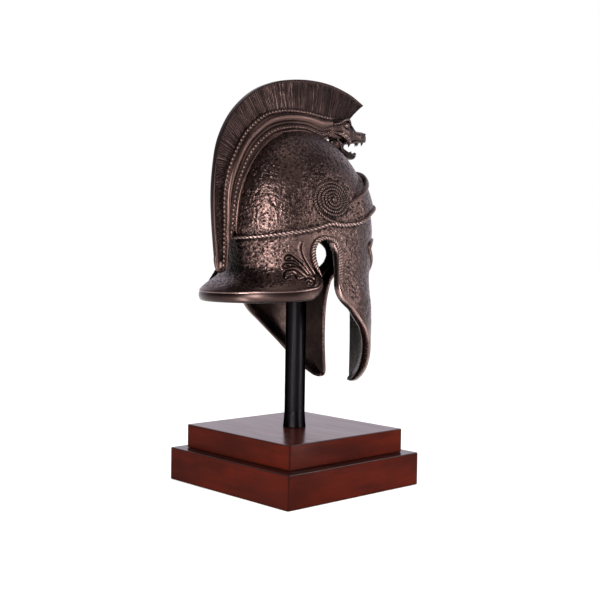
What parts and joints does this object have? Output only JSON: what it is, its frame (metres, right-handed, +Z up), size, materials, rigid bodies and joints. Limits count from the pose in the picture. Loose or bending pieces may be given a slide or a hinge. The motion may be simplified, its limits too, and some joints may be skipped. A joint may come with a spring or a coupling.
{
  "type": "bronze helmet on wooden stand",
  "caption": "Crested Greek-style bronze helmet with flared neck guard, long cheek guards and a beast-head crest, shown on a black post and a stepped wooden plinth.",
  "frame": {"origin": "centre of the flat underside of the plinth", "axes": "+Z up along the post, the face of the helmet towards -Y, +X to the wearer's left"},
  "size_m": [0.28, 0.3268, 0.6399],
  "materials": {
    "bronze": "dark worn bronze, hammered",
    "crest_bronze": "dark smooth bronze",
    "plume_bronze": "dark bronze cut into strands",
    "mahogany": "red-brown lacquer with dark edges",
    "black_lacquer": "gloss black"
  },
  "bodies": {
    "root": {"plinth_lower": "mahogany", "plinth_upper": "mahogany", "post": "black_lacquer", "post_collar": "black_lacquer", "helmet_shell": "bronze", "crest_holder": "crest_bronze", "crest_plume": "plume_bronze"}
  },
  "joints": []
}
